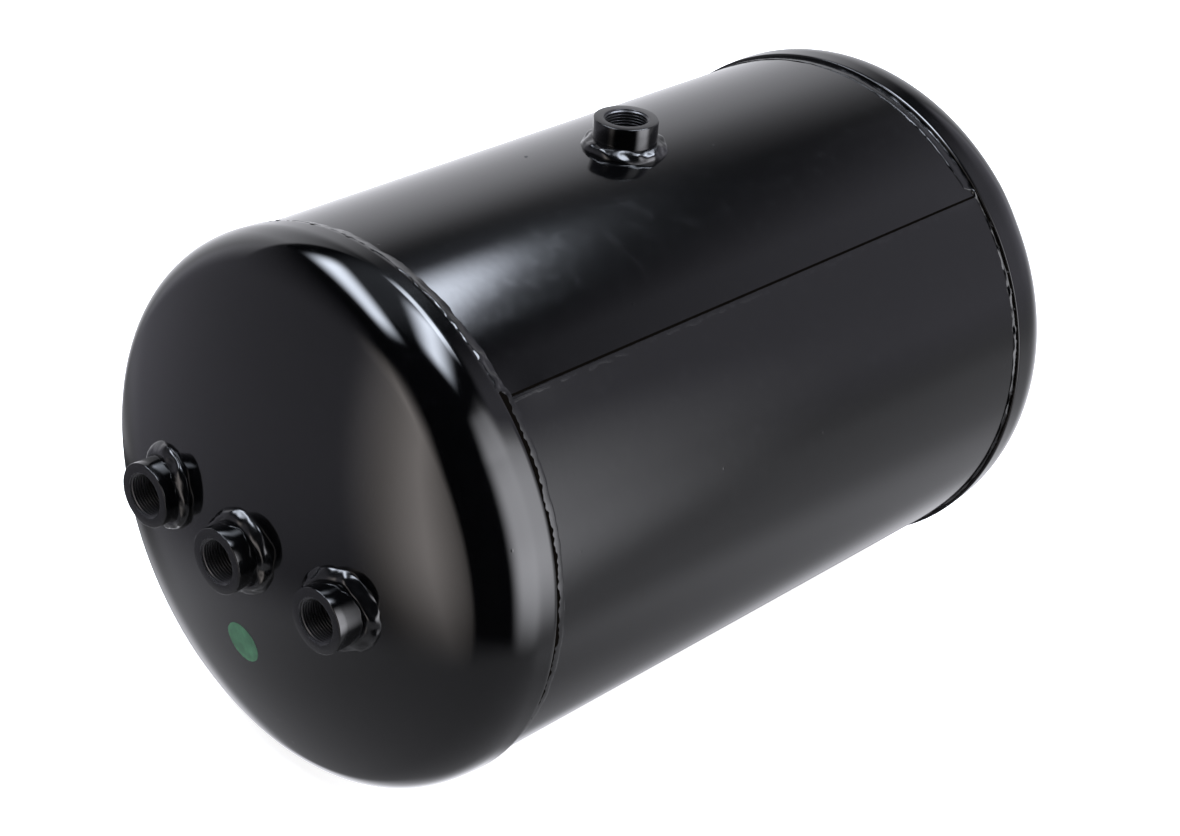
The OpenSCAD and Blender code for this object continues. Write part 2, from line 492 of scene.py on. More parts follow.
# %% A tree that rolls a sheet
def new_tree(name, sockets):
    """A geometry tree with named inputs. Returns the tree, its inputs and each one's identifier."""
    group = bpy.data.node_groups.new(name, "GeometryNodeTree")
    group.interface.new_socket("Geometry", in_out="INPUT", socket_type="NodeSocketGeometry")
    group.interface.new_socket("Geometry", in_out="OUTPUT", socket_type="NodeSocketGeometry")
    ids = {}
    for key, kind in sockets.items():
        made = group.interface.new_socket(key, in_out="INPUT", socket_type="NodeSocket" + kind)
        ids[key] = made.identifier
    t = Tree(group)
    first = t.node("NodeGroupInput")
    return t, {key: first.other(key) for key in ["Geometry", *sockets]}, ids


def close_tree(t, geometry, material):
    """Ends a tree as every tree here ends: instances made real, then the material set."""
    real = t.node("GeometryNodeRealizeInstances", None, {"Geometry": geometry})
    done = t.node("GeometryNodeSetMaterial", None, {"Geometry": real, "Material": material})
    t.node("NodeGroupOutput", None, {"Geometry": done})


def grown(target, t, ids, values, sharp=35.0):
    """Runs a tree on an object and keeps the result as its plain mesh."""
    modifier = target.modifiers.new("grow", "NODES")
    modifier.node_group = t.tree
    for key, value in values.items():
        modifier[ids[key]] = value
    deps = bpy.context.evaluated_depsgraph_get()
    result = bpy.data.meshes.new_from_object(target.evaluated_get(deps))
    target.modifiers.clear()
    target.data = result
    work = bmesh.new()
    work.from_mesh(result)
    if work.calc_volume(signed=True) < 0:
        bmesh.ops.reverse_faces(work, faces=work.faces)
        work.to_mesh(result)
    work.free()
    result.shade_smooth()
    result.set_sharp_from_angle(angle=math.radians(sharp))
    return target


def rolling_tree():
    sizes = ["Radius", "Gap", "Seam Angle", "Ridge Height", "Ridge Width", "Start", "Rim Front",
             "Rim Rear", "Fade"]
    t, given, ids = new_tree("roll a sheet",
                             {**{key: "Float" for key in sizes}, "Material": "Material"})
    at = t.node("GeometryNodeInputPosition")
    xyz = t.node("ShaderNodeSeparateXYZ", None, {0: at})
    run, depth, along = xyz, xyz.other("Z"), xyz.other("Y")
    turn = given["Gap"] * 0.5 + run * (2 * math.pi - given["Gap"])
    from_seam = (math.pi - (turn - math.pi).absolute()) * given["Radius"]
    lift = (1.0 - (from_seam / given["Ridge Width"])).math("MAXIMUM", 0.0) ** 2.0
    near_front = ((along - given["Rim Front"]) / given["Fade"]).ramp(0.0, 1.0)
    near_rear = ((given["Rim Rear"] - along) / given["Fade"]).ramp(0.0, 1.0)
    ridge = lift * given["Ridge Height"] * near_front * near_rear
    radius = given["Radius"] + ridge - depth
    angle = turn + given["Seam Angle"]
    flat = t.node("ShaderNodeCombineXYZ", None,
                  {0: angle.sine() * radius, 1: along, 2: angle.math("COSINE") * radius + AXIS_Z})
    rolled = t.node("GeometryNodeSetPosition", None, {"Geometry": given["Geometry"], "Position": flat})
    close_tree(t, rolled, given["Material"])
    return t, ids


# %% Roll the shell
SEAM_ANGLE = math.radians(45)
SEAM_GAP = 1.6 * MM
RIDGE = 0.8 * MM
RIDGE_WIDTH = 15 * MM
RIDGE_SHARE = 0.022
END_REACH = 0.04
ridge_steps = np.linspace(0, 1, 13) ** 1.3 * RIDGE_SHARE
body_steps = np.linspace(RIDGE_SHARE, 1 - RIDGE_SHARE, 330)[1:-1]
across = np.concatenate([ridge_steps, body_steps, 1 - ridge_steps[::-1]])
along = np.unique(np.concatenate([
    np.linspace(shell_low.y, FRONT_RIM_Y, 3),
    np.linspace(FRONT_RIM_Y, FRONT_RIM_Y + END_REACH, 9),
    np.linspace(FRONT_RIM_Y + END_REACH, REAR_RIM_Y - END_REACH, 21),
    np.linspace(REAR_RIM_Y - END_REACH, REAR_RIM_Y, 9),
    np.linspace(REAR_RIM_Y, shell_high.y, 3)]).round(6))


def sheet_blank(across, along, thick):
    """A flat sheet lying in X from 0 to 1 and in Y along the tank, its thickness in Z."""
    wide, deep = len(across), len(along)
    points = [(x, y, z) for z in (0.0, thick) for y in along for x in across]
    top = lambda j, i: j * wide + i
    low = lambda j, i: wide * deep + j * wide + i
    faces = []
    for j in range(deep - 1):
        for i in range(wide - 1):
            faces.append((top(j, i), top(j, i + 1), top(j + 1, i + 1), top(j + 1, i)))
            faces.append((low(j + 1, i), low(j + 1, i + 1), low(j, i + 1), low(j, i)))
    for j in range(deep - 1):
        faces.append((low(j, 0), top(j, 0), top(j + 1, 0), low(j + 1, 0)))
        faces.append((top(j, wide - 1), low(j, wide - 1), low(j + 1, wide - 1), top(j + 1, wide - 1)))
    for i in range(wide - 1):
        faces.append((top(0, i), low(0, i), low(0, i + 1), top(0, i + 1)))
        faces.append((low(deep - 1, i), top(deep - 1, i), top(deep - 1, i + 1), low(deep - 1, i + 1)))
    return points, faces


shell = piece("shell_rolled", *sheet_blank(across, along, WALL), SHELL_PAINT)
roll, roll_ids = rolling_tree()
grown(shell, roll, roll_ids, {
    "Radius": SHELL_R, "Gap": SEAM_GAP / SHELL_R, "Seam Angle": SEAM_ANGLE,
    "Ridge Height": RIDGE, "Ridge Width": RIDGE_WIDTH, "Rim Front": FRONT_RIM_Y,
    "Rim Rear": REAR_RIM_Y, "Fade": 30 * MM, "Material": SHELL_PAINT})
bore(shell, (0, DRAIN_Y, AXIS_Z + SHELL_R), (0, 0, 1), BOSS_R + BOSS_GAP, 0.03)
print("shell rolled and bored:", len(shell.data.polygons), "faces")

# %% [markdown]
# ## Threaded bosses
# A boss is a short thick tube turned from bar, with a fine thread cut inside for the air
# fittings. A thread is a helix, so its grid is laid along the helix too: each row starts where
# the last turn ended, and rows past either end are held at the face, which closes the tube.

# %% Cut a threaded boss
PITCH = 1.5 * MM
MAJOR_R = 11.0 * MM
EDGE_BREAK = 0.5 * MM
MOUTH_LAND = 0.3 * MM
CREST_FLAT, FLANK_SHARE = 0.18, 0.62
THREAD_STEPS = 10
BOSS_TURNS = 96


def thread_radius(turn):
    """Radius of the thread at a share of one pitch: flat crest, flanks, flat root."""
    flank = np.abs(((turn % 1.0) - 0.5) * 2)
    cut = np.clip((flank - CREST_FLAT) / FLANK_SHARE, 0, 1)
    return BORE_R + (MAJOR_R - BORE_R) * (cut * cut * (3 - 2 * cut))


def boss_mesh():
    """Points, faces and bare share of a boss built with its face at height 0, body below."""
    rows = int(round(BOSS_L / PITCH * THREAD_STEPS)) + THREAD_STEPS
    angle = 2 * np.pi * np.arange(BOSS_TURNS) / BOSS_TURNS
    points, bare = [], []
    for i in range(rows + 1):
        depth = np.clip((i - THREAD_STEPS) * PITCH / THREAD_STEPS + PITCH * angle / (2 * np.pi),
                        0, BOSS_L)
        phase = i / THREAD_STEPS * np.ones_like(angle)
        radius = np.maximum(thread_radius(phase), MOUTH_R - depth)
        radius = np.maximum(radius, MOUTH_R - MOUTH_LAND - (BOSS_L - depth))
        for a, d, r in zip(angle, depth, radius):
            points.append((r * math.cos(a), r * math.sin(a), -d))
            bare.append(1.0)
    faces = []
    for i in range(rows):
        for k in range(BOSS_TURNS):
            n = (k + 1) % BOSS_TURNS
            step = 0 if n else THREAD_STEPS
            if i + step < rows:
                here, there = i * BOSS_TURNS, (i + step) * BOSS_TURNS
                faces.append((here + k, there + n, there + n + BOSS_TURNS, here + k + BOSS_TURNS))
    ring = len(points)
    quarter = math.pi / 2
    body = arc((BOSS_R - EDGE_BREAK, -EDGE_BREAK), EDGE_BREAK, 0, quarter, 5)
    body += [(BOSS_R, -BOSS_L * f) for f in (0.2, 0.4, 0.6, 0.8)]
    body += [(r, -BOSS_L - h) for r, h in arc((BOSS_R - EDGE_BREAK, -EDGE_BREAK), EDGE_BREAK,
                                               quarter, 0, 5)]
    inner_end = MOUTH_R - MOUTH_LAND
    outline = [(MOUTH_R, 0.0), (MOUTH_R + MOUTH_LAND, 0.0)] + body + [(inner_end, -BOSS_L)]
    for radius, height in outline:
        for a in angle:
            points.append((radius * math.cos(a), radius * math.sin(a), height))
            bare.append(0.0)
    for i in range(len(outline) - 1):
        for k in range(BOSS_TURNS):
            n = (k + 1) % BOSS_TURNS
            a, b = ring + i * BOSS_TURNS, ring + (i + 1) * BOSS_TURNS
            faces.append((a + k, a + n, b + n, b + k))
    return np.array(points), faces, np.array(bare)


print("boss rows:", int(round(BOSS_L / PITCH * THREAD_STEPS)) + THREAD_STEPS)

# %% Turn the four bosses
boss_points, boss_faces, boss_bare = boss_mesh()


def boss(name, points):
    return piece(name, points, boss_faces, BOSS_PAINT, 40.0,
                 {"thin_coat": ("FLOAT", boss_bare)})


bosses = {}
for side in PORTS:
    place = port_places[side]
    standing = np.stack([boss_points[:, 0] + place.x, place.y - boss_points[:, 2],
                         boss_points[:, 1] + place.z], 1)
    bosses["port_boss_" + side] = boss("port_boss_turned_" + side, standing)
standing = boss_points + np.array([0.0, DRAIN_Y, DRAIN_FACE_Z])
bosses["drain_boss"] = boss("drain_boss_turned", standing)
print("bosses:", {b.name: len(b.data.polygons) for b in bosses.values()})

# %% [markdown]
# ## Weld beads
# A weld is metal laid along a joint while the torch moves. It leaves ripples, swells where the
# torch paused, and has an edge that wanders. All beads here are made in two steps. First a smooth
# blank is swept along the joint from one toe, over the crown, to the other toe, with its root
# buried. Then one Geometry Nodes tree disturbs every blank alike.

# %% Sweep a blank along a joint
SECTIONS = 21


def swept(name, sheet_toe, wall_toe, root, bulge, closed, crown=None, restarts=None,
          pit=None):
    """A bead from sheet_toe to wall_toe, arrays of points along the joint. bulge is the height
    of its crown above the straight line between the toes. crown shapes the section, and may
    give each station along the joint its own. pit says where in the section shade
    is painted into the groove."""
    shape = np.linspace(-1, 1, SECTIONS)
    rise = crown(shape) if crown else 1 - shape ** 2
    out = (sheet_toe + wall_toe) / 2 - root
    out /= np.linalg.norm(out, axis=1, keepdims=True)
    slide_a = sheet_toe - root
    slide_a /= np.linalg.norm(slide_a, axis=1, keepdims=True)
    slide_b = wall_toe - root
    slide_b /= np.linalg.norm(slide_b, axis=1, keepdims=True)
    step = np.linalg.norm(np.diff(sheet_toe, axis=0, append=sheet_toe[:1]), axis=1)
    run = np.concatenate([[0], np.cumsum(step)[:-1]])
    n, m = len(root), SECTIONS + 1
    pause = np.zeros(n) if restarts is None else restarts
    points = np.zeros((n, m, 3))
    lift, spread = np.zeros((n, m, 3)), np.zeros((n, m, 3))
    side, start, shade_share = np.zeros((n, m)), np.zeros((n, m)), np.zeros((n, m))
    for j, c in enumerate(shape):
        hump = np.broadcast_to(bulge * rise[j], n)[:, None]
        points[:, j] = sheet_toe * (1 - c) / 2 + wall_toe * (1 + c) / 2 + out * hump
        lift[:, j] = out * (1 - c ** 2)
        spread[:, j] = slide_a * max(0.0, -c) ** 2 + slide_b * max(0.0, c) ** 2
        side[:, j], start[:, j] = c, pause * (1 - c ** 2)
        # Painted shade: how much of the groove's shadow is painted on at this place in the section.
        shade_share[:, j] = pit(c) if pit else 0.0
    points[:, -1] = root
    rows = n if closed else n - 1
    faces = []
    for i in range(rows):
        o = (i + 1) % n
        for j in range(m):
            q = (j + 1) % m
            faces.append((i * m + j, o * m + j, o * m + q, i * m + q))
    if not closed:
        faces.append(tuple(range(m)))
        faces.append(tuple((n - 1) * m + j for j in reversed(range(m))))
    blank = piece(name, points.reshape(-1, 3), faces, WELD_PAINT, 50.0, {
        "lift": ("FLOAT_VECTOR", lift), "spread": ("FLOAT_VECTOR", spread),
        "run": ("FLOAT", np.repeat(run, m)), "side": ("FLOAT", side), "pause": ("FLOAT", start),
        "pit": ("FLOAT", shade_share)})
    return blank, float(step[:rows].sum())


# %% A tree that makes a blank look welded
RIPPLE_BOW = 0.55


def welding_tree():
    sizes = ["Ripple Pitch", "Ripple Height", "Lump Size", "Lump Height", "Wander Size", "Wander",
             "Pause Height"]
    t, given, ids = new_tree("weld a blank",
                             {**{key: "Float" for key in sizes}, "Seed": "Float",
                              "Material": "Material"})
    named = lambda key, kind="FLOAT": t.node("GeometryNodeInputNamedAttribute",
                                             {"data_type": kind}, {"Name": key})
    at = t.node("GeometryNodeInputPosition")
    side, run = named("side"), named("run")
    wave = ((run / given["Ripple Pitch"] - side * side * RIPPLE_BOW) * (2 * math.pi)).sine()
    ripple = wave * given["Ripple Height"]

    def cloud(size, shift):
        return t.node("ShaderNodeTexNoise", {"noise_dimensions": "4D"},
                      {"Vector": at, "W": given["Seed"] + shift, "Scale": 1.0 / size,
                       "Detail": 0.0})

    lump = (cloud(given["Lump Size"], 0.0) - 0.5) * 2.0 * given["Lump Height"]
    edge = (cloud(given["Wander Size"], 9.0) - 0.5) * 2.0 * given["Wander"]
    up = t.scaled(named("lift", "FLOAT_VECTOR"), ripple + lump)
    swell = t.scaled(named("lift", "FLOAT_VECTOR"), named("pause") * given["Pause Height"])
    aside = t.scaled(named("spread", "FLOAT_VECTOR"), edge)
    moved = t.vector("ADD", t.vector("ADD", up, swell), aside)
    bead = t.node("GeometryNodeSetPosition", None, {"Geometry": given["Geometry"], "Offset": moved})
    close_tree(t, bead, given["Material"])
    return t, ids


weld_tree, weld_ids = welding_tree()


def welded(blank, length, pitch, ripple, lump, wander, seed, pause=0.0):
    """Runs the welding tree on a blank. The pitch is fitted so that whole ripples go round."""
    return grown(blank, weld_tree, weld_ids, {
        "Ripple Pitch": length / round(length / pitch), "Ripple Height": ripple,
        "Lump Size": lump[0], "Lump Height": lump[1], "Wander Size": wander[0],
        "Wander": wander[1], "Pause Height": pause, "Seed": float(seed),
        "Material": WELD_PAINT}, 60.0)


print("welding tree inputs:", sorted(weld_ids))

# %% [markdown]
# Round each boss runs a thick fillet, laid in one go by hand or by a robot that turns the tank.
# It climbs about 4 mm up the boss and 5 mm out over the sheet, so its two toes lie on the boss
# and on the curved sheet. The toes are sunk slightly so that no light shows under them.

# %% Weld the bosses in
FILLET = 5.2 * MM
CLIMB = 4.3 * MM
SUNK = 0.25 * MM
FILLET_BULGE = 1.5 * MM


def fillet(name, centre, first, second, out, sheet, seed):
    """A ring weld about an axis out from centre. sheet(u, v) is the sheet's height at an offset."""
    angle = np.linspace(0, 2 * np.pi, 260, endpoint=False)
    cos, sin = np.cos(angle), np.sin(angle)

    def ring(radius, rise):
        u, v = radius * cos, radius * sin
        height = sheet(u, v) + rise
        return (centre + u[:, None] * first + v[:, None] * second + height[:, None] * out)

    sheet_toe = ring(BOSS_R + FILLET, -SUNK)
    wall_toe = ring(BOSS_R - SUNK, CLIMB)
    root = ring(BOSS_R - SUNK, -3 * SUNK)
    blank, length = swept(name, sheet_toe, wall_toe, root, FILLET_BULGE, True,
                          lambda c: (1 - c ** 2) ** 0.8)
    return welded(blank, length, 3.6 * MM, 0.015 * MM, (7.5 * MM, 1.9 * MM), (11 * MM, 1.1 * MM),
                  seed)


X, Y, Z = np.eye(3)
welds = {}
for number, side in enumerate(PORTS):
    place = port_places[side]
    centre = np.array([place.x, 0.0, place.z])

    def crown_out(u, v, place=place):
        reach = (u + place.x) ** 2 + (v + place.z - AXIS_Z) ** 2
        return np.sqrt(CROWN_R ** 2 - reach) - CROWN_Y

    welds["port_weld_" + side] = fillet("port_weld_laid_" + side, centre, X, Z, -Y, crown_out,
                                        SEED + 20 + number)
welds["drain_weld"] = fillet(
    "drain_weld_laid", np.array([0.0, DRAIN_Y, AXIS_Z]), X, Y, Z,
    lambda u, v: np.sqrt(SHELL_R ** 2 - u ** 2), SEED + 30)
print("fillets:", {w.name: len(w.data.polygons) for w in welds.values()})

# %% [markdown]
# A girth weld joins each head's rim to the shell. Over part of the ring the torch aimed at the
# shell, so the bead has a crest there and leaves an uneven groove against the rim. Elsewhere it
# laps over the rim or lies hollow against it. Where one pass ends and the next starts there is a
# lump.

# %% Weld the heads on
# Where the bead has a crest: how far it reaches over the shell, and its toe at the rim (how high
# above the shell, how far past the rim), in mm. Sections run from the shell's toe to the rim's.
CREST_REACH = 6.4
CREST_TOE = (0.35, 0.4)
CREST_PLACES = [-1, -0.8, -0.6, -0.3, 0, 0.2, 0.45, 0.75, 1]
CREST_HEIGHTS = [0, 0.75, 1.25, 1.05, 0.6, 0, -0.2, -0.1, 0]
PLAIN_PLACES = [-1, -0.5, 0, 0.3, 0.7, 0.88, 1]
GROOVE_SHADE_EDGES = [0.0, 0.12, 0.85, 1.1]
GIRTH_SUNK = 0.12 * MM
GIRTH_ROOT = 0.5 * MM
FRONT_RESTARTS = [36.0, 41.0, 44.6, 170.0, 262.0]
REAR_RESTARTS = [37.0, 44.0, 67.0, 76.0, 205.0, 301.0]


def pauses(angle, places):
    """Swellings at the given angles, in degrees from the top towards +X."""
    swell = np.zeros_like(angle)
    for place in places:
        apart = np.angle(np.exp(1j * (angle - math.radians(place))))
        swell += np.exp(-(apart * SHELL_R / (2.2 * MM)) ** 2)
    return swell


def girth(name, rim_y, inward, restarts, crested, over, painted_shade, seed):
    """The ring weld at a rim. inward is +1 where the shell runs towards +Y. crested gives the
    two angles between which the torch aimed at the shell: there the bead has a crest and leaves
    a groove at the rim. over describes it elsewhere, in mm: how far its toe lies past the rim,
    how high above the shell, how far it reaches, and its section. painted_shade says how dark
    the groove's painted shade is, with the crest and without."""
    angle = np.linspace(0, 2 * np.pi, 1500, endpoint=False)
    rng = np.random.default_rng(seed)
    ragged = np.zeros_like(angle)
    for count in (19, 31, 47, 83, 137, 211):
        ragged += rng.uniform(0.5, 1) * np.sin(count * angle + rng.uniform(0, 6.3))
    ragged /= np.abs(ragged).max()
    crest = between(angle, *crested)
    past, up, reach, plain = over
    crest_up, crest_past = CREST_TOE

    def ring(radius, y):
        y = np.broadcast_to(y, angle.shape)
        return np.stack([radius * np.sin(angle), y, AXIS_Z + radius * np.cos(angle)], 1)

    blend = lambda plain_value, crest_value: plain_value * (1 - crest) + crest_value * crest
    rim_rise = blend(up + 0.1 * ragged, crest_up)
    rim_toe = ring(SHELL_R + rim_rise * MM, rim_y - inward * MM * blend(past, crest_past))
    shell_toe = ring(SHELL_R - GIRTH_SUNK, rim_y + inward * MM * blend(reach, CREST_REACH))
    root = ring(SHELL_R - GIRTH_ROOT, rim_y + inward * GIRTH_ROOT)
    section = lambda c: blend(np.interp(c, PLAIN_PLACES, plain)[:, None],
                              np.interp(c, CREST_PLACES, CREST_HEIGHTS)[:, None])
    # Painted shade: the groove is darkened in paint, standing in for its shadow, more or less with the
    # crest and without.
    shade_strength = blend(painted_shade[1], painted_shade[0])
    groove = lambda c: shade_strength * np.interp(c + 0.2 * ragged, GROOVE_SHADE_EDGES, [0, 1, 1, 0])
    blank, length = swept(name, shell_toe, rim_toe, root, MM, True,
                          section, pauses(angle, restarts), groove)
    return welded(blank, length, 2.4 * MM, 0.012 * MM, (9 * MM, 0.75 * MM), (5 * MM, 1.0 * MM),
                  seed, 0.9 * MM)


LAPPED = (0.8, 1.67, 6.2, [0, -0.20, -0.18, 0.10, 0.48, 0.38, 0])
HOLLOW = (0.4, 1.3, 2.3, [0, -0.20, -0.26, -0.24, -0.15, -0.08, 0])
welds["front_girth_weld"] = girth("front_girth_weld_laid", FRONT_RIM_Y, 1, FRONT_RESTARTS,
                                  (43.5, 262.0), LAPPED, (1.0, 0.0), SEED + 40)
welds["rear_girth_weld"] = girth("rear_girth_weld_laid", REAR_RIM_Y, -1, REAR_RESTARTS,
                                 (-110.0, 43.0), HOLLOW, (0.0, 0.62), SEED + 41)
print("girth welds:", len(welds["front_girth_weld"].data.polygons), "faces each")

# %% [markdown]
# The seam runs the length of the shell and fills the gap between the sheet's edges. A machine
# lays it, so it is straight, narrow and low, with a thin groove along one side.

# %% Weld the seam
SEAM_PLACES = [-1, -0.84, -0.62, -0.35, 0.1, 0.55, 1]
SEAM_HEIGHTS = [0, 0.10, -0.10, 0.06, 0.22, 0.15, 0]
SEAM_GROOVE, SEAM_SHADE_HALF = -0.65, 0.26
SEAM_FADE = 30 * MM


def seam(name, seed):
    stations = 900
    y = np.linspace(FRONT_RIM_Y - 4 * MM, REAR_RIM_Y + 4 * MM, stations)
    fade = np.clip(np.minimum(y - FRONT_RIM_Y, REAR_RIM_Y - y) / SEAM_FADE, 0, 1)
    fade = fade * fade * (3 - 2 * fade)
    out = np.array([math.sin(SEAM_ANGLE), 0.0, math.cos(SEAM_ANGLE)])
    aside = np.array([math.cos(SEAM_ANGLE), 0.0, -math.sin(SEAM_ANGLE)])

    def line(offset, lift):
        """A line beside the joint, lift above the sheet, which falls away from the ridge."""
        fall = (1 - abs(offset) / RIDGE_WIDTH) ** 2
        top = SHELL_R + RIDGE * fade * fall - offset ** 2 / (2 * SHELL_R) + lift
        return (Z * AXIS_Z)[None] + out * top[:, None] + aside * offset + Y * y[:, None]

    upper = line(-1.2 * MM, -0.12 * MM)
    lower = line(3.6 * MM, -0.05 * MM)
    root = line(0.4 * MM, -1.4 * MM)
    # Painted shade: a narrow strip along the seam's groove is darkened in paint, standing in for its
    # shadow.
    blank, length = swept(name, upper, lower, root, MM, False,
                          lambda c: np.interp(c, SEAM_PLACES, SEAM_HEIGHTS),
                          pit=lambda c: float(abs(c - SEAM_GROOVE) < SEAM_SHADE_HALF))
    return welded(blank, length, 2.2 * MM, 0.006 * MM, (4 * MM, 0.08 * MM),
                  (5 * MM, 0.35 * MM), seed)


welds["seam_weld"] = seam("seam_weld_laid", SEED + 50)
print("seam weld:", len(welds["seam_weld"].data.polygons), "faces")

# %% [markdown]
# Welding throws out tiny drops that freeze where they land, and the paint covers them. A tree
# scatters flattened drops over a patch of the shell round its boss and drops the patch.

# %% Scatter the spatter
def spatter_tree():
    sizes = ["Per Square Metre", "Smallest", "Largest", "Flatness"]
    t, given, ids = new_tree("scatter drops", {**{key: "Float" for key in sizes}, "Seed": "Int",
                                               "Material": "Material"})
    spots = t.node("GeometryNodeDistributePointsOnFaces", None,
                   {"Mesh": given["Geometry"], "Density": given["Per Square Metre"],
                    "Seed": given["Seed"]})
    size = t.node("FunctionNodeRandomValue", None,
                  {2: given["Smallest"], 3: given["Largest"], "Seed": given["Seed"]}, 1)
    shape = t.node("ShaderNodeCombineXYZ", None, {0: size, 1: size, 2: size * given["Flatness"]})
    drop = t.node("GeometryNodeMeshUVSphere", None, {"Segments": 14, "Rings": 8, "Radius": 1.0})
    laid = t.node("GeometryNodeInstanceOnPoints", None,
                  {"Points": spots, "Instance": drop, "Rotation": spots.other("Rotation"),
                   "Scale": shape})
    close_tree(t, laid, given["Material"])
    return t, ids


drops_tree, drops_ids = spatter_tree()
PATCH_TURNS = 48
PATCH_IN, PATCH_OUT = 24 * MM, 56 * MM
patch_points = []
for far in (PATCH_IN, PATCH_OUT):
    for k in range(PATCH_TURNS):
        a = 2 * math.pi * k / PATCH_TURNS
        u = far * math.cos(a)
        patch_points.append((u, DRAIN_Y + far * math.sin(a),
                             AXIS_Z + math.sqrt(SHELL_R ** 2 - u ** 2)))
patch_faces = [(k, k + PATCH_TURNS, (k + 1) % PATCH_TURNS + PATCH_TURNS, (k + 1) % PATCH_TURNS)
               for k in range(PATCH_TURNS)]
drops = piece("drops", patch_points, patch_faces, SHELL_PAINT)
grown(drops, drops_tree, drops_ids, {
    "Per Square Metre": 1900.0, "Smallest": 0.3 * MM, "Largest": 1.0 * MM, "Flatness": 0.6,
    "Seed": SEED, "Material": SHELL_PAINT}, 80.0)
work = bmesh.new()
work.from_mesh(shell.data)
work.from_mesh(drops.data)
work.to_mesh(shell.data)
work.free()
bpy.data.objects.remove(drops)
print("shell with spatter:", len(shell.data.polygons), "faces")

# %% [markdown]
# ## The inspection dot
# The dot is a thin disc that follows the crown. Its rim is turned down on to the paint, and the
# paper lies very slightly uneven, as a sticker pressed by thumb does.

# %% Press the dot on
def dot(name, node):
    low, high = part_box(node)
    centre = (low + high) / 2
    radius = (high.x - low.x) / 2
    points, faces = spun([(0, 0.0)] + [(radius * f, 0.0) for f in np.linspace(0.08, 1, 14)]
                         + [(radius * f, -1.0) for f in np.linspace(1, 0.08, 14)] + [(0, -1.0)],
                         96)
    rng = np.random.default_rng(SEED)
    bumps = rng.normal(size=(6, 3)) * np.array([260, 260, 3])
    reach = np.hypot(points[:, 0], points[:, 1]) / radius
    wave = sum(np.sin(points[:, 0] * a + points[:, 1] * b + c) for a, b, c in bumps) / 6
    x, z = points[:, 0] + centre.x, points[:, 1] + centre.z
    crown = CROWN_Y - np.sqrt(CROWN_R ** 2 - x ** 2 - (z - AXIS_Z) ** 2)
    thick = 0.12 * MM + 0.06 * MM * wave * (1 - reach ** 4) - 0.05 * MM * reach ** 8
    y = crown - np.where(points[:, 2] < -0.5, -0.05 * MM, thick)
    return piece(name, np.stack([x, y, z], 1), faces, DOT_PAPER, 50.0)


sticker = dot("inspection_dot", "inspection_sticker")
print("dot:", len(sticker.data.polygons), "faces")

# %% [markdown]
# ## Swap the pieces in
# Each piece stands for one part of the imported model, which it hides. It rides on the tank's
# single body.

# %% Name what each piece stands for
handed = {"front_head": (front_head, "head_paint"), "rear_head": (rear_head, "head_paint"),
          "shell": (shell, "shell_paint"), "inspection_sticker": (sticker, "sticker_face")}
handed.update({node: (made, "boss_paint") for node, made in bosses.items()})
handed.update({node: (made, "weld_paint") for node, made in welds.items()})
for node, (made, finish) in handed.items():
    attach(made, "root")
    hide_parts(node)
print(len(handed), "pieces stand for", len(frame["nodes"]), "parts")

# %% [markdown]
# ## Floor and light
# A glossy black thing is lit by what it mirrors. The room here is a set of soft white panels in
# the world shader: two long ones overhead, one tall one to the right, a narrow one in front and a
# pale wall to the left, with darkness where a person would stand. Each panel is a rectangle seen
# along its own axis, with soft edges. The camera itself sees plain white behind the floor.

# %% A soft panel in the world
def direction(azimuth, elevation):
    """A unit vector. Azimuth 0 is along +Y and 90 is along +X."""
    a, e = math.radians(azimuth), math.radians(elevation)
    return Vector((math.sin(a) * math.cos(e), math.cos(a) * math.cos(e), math.sin(e)))


def panel(t, ray, azimuth, elevation, roll, half_wide, half_high, soft_wide, soft_high, level):
    """How bright one soft rectangle looks along a ray. Sizes are tangents of half angles."""
    middle = direction(azimuth, elevation)
    side = Quaternion(middle, math.radians(roll)) @ Vector((0, 0, 1)).cross(middle).normalized()
    up = side.cross(middle)
    ahead = t.vector("DOT_PRODUCT", ray, middle, "Value")
    u = (t.vector("DOT_PRODUCT", ray, side, "Value") / ahead).absolute()
    v = (t.vector("DOT_PRODUCT", ray, up, "Value") / ahead).absolute()
    inside = 1.0 - u.ramp(half_wide - soft_wide, half_wide + soft_wide)
    inside = inside * (1.0 - v.ramp(half_high - soft_high, half_high + soft_high))
    return inside * ahead.ramp(0.02, 0.08) * level


COOL, PLAIN = (0.85, 0.92, 1.05), (0.965, 0.97, 1.03)
WARM, SLATE = (1.06, 0.98, 0.95), (0.95, 0.94, 1.08)


